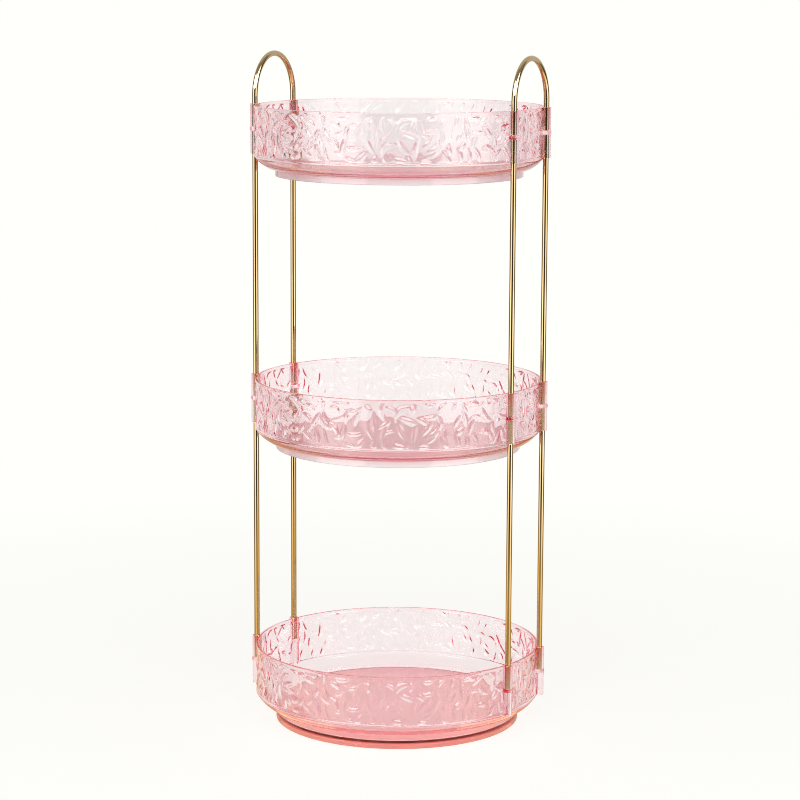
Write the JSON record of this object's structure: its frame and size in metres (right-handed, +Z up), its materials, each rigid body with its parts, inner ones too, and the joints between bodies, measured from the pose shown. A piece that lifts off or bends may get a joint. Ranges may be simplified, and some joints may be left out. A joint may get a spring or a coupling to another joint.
{
  "type": "rotating makeup organizer",
  "caption": "Tall round makeup organizer: clear pink rippled trays stacked on slim gold posts with hoop handles, turning on a ball-bearing base.",
  "frame": {"origin": "centre of the plane that the foot pads stand on", "axes": "+Z up along the turning axis, handles on +X and -X"},
  "size_m": [0.228, 0.226, 0.53],
  "materials": {
    "clear_pink_plastic": "clear tinted, polished, rippled on the tray walls",
    "gold_metal": "polished gold plating",
    "cage_plastic": "moulded",
    "bearing_steel": "polished balls",
    "screw_steel": "zinc plated",
    "foot_rubber": "soft translucent white"
  },
  "bodies": {
    "base": {"turntable_base": "clear_pink_plastic", "foot_pad_1": "foot_rubber", "foot_pad_2": "foot_rubber", "foot_pad_3": "foot_rubber", "foot_pad_4": "foot_rubber", "foot_pad_5": "foot_rubber", "foot_pad_6": "foot_rubber"},
    "ball_ring": {"ball_cage": "cage_plastic", "bearing_balls": "bearing_steel"},
    "carousel": {"bottom_tray": "clear_pink_plastic", "middle_tray": "clear_pink_plastic", "top_tray": "clear_pink_plastic", "right_handle": "gold_metal", "left_handle": "gold_metal", "lower_post_right_front": "gold_metal", "lower_post_right_rear": "gold_metal", "lower_post_left_front": "gold_metal", "lower_post_left_rear": "gold_metal", "upper_post_right_front": "gold_metal", "upper_post_right_rear": "gold_metal", "upper_post_left_front": "gold_metal", "upper_post_left_rear": "gold_metal", "turntable_rotor": "clear_pink_plastic", "pivot_screw": "screw_steel", "pivot_washer": "screw_steel"}
  },
  "joints": [
    {"name": "carousel_spin", "type": "hinge", "parent": "base", "child": "carousel", "pos_m": [0, 0, 0], "axis": [0, 0, 1], "continuous": true},
    {"name": "ball_ring_spin", "type": "hinge", "parent": "base", "child": "ball_ring", "pos_m": [0, 0, 0.00655], "axis": [0, 0, 1], "continuous": true}
  ],
  "couplings": [
    {"joint": "ball_ring_spin", "follows": "carousel_spin", "ratio": 0.5}
  ]
}
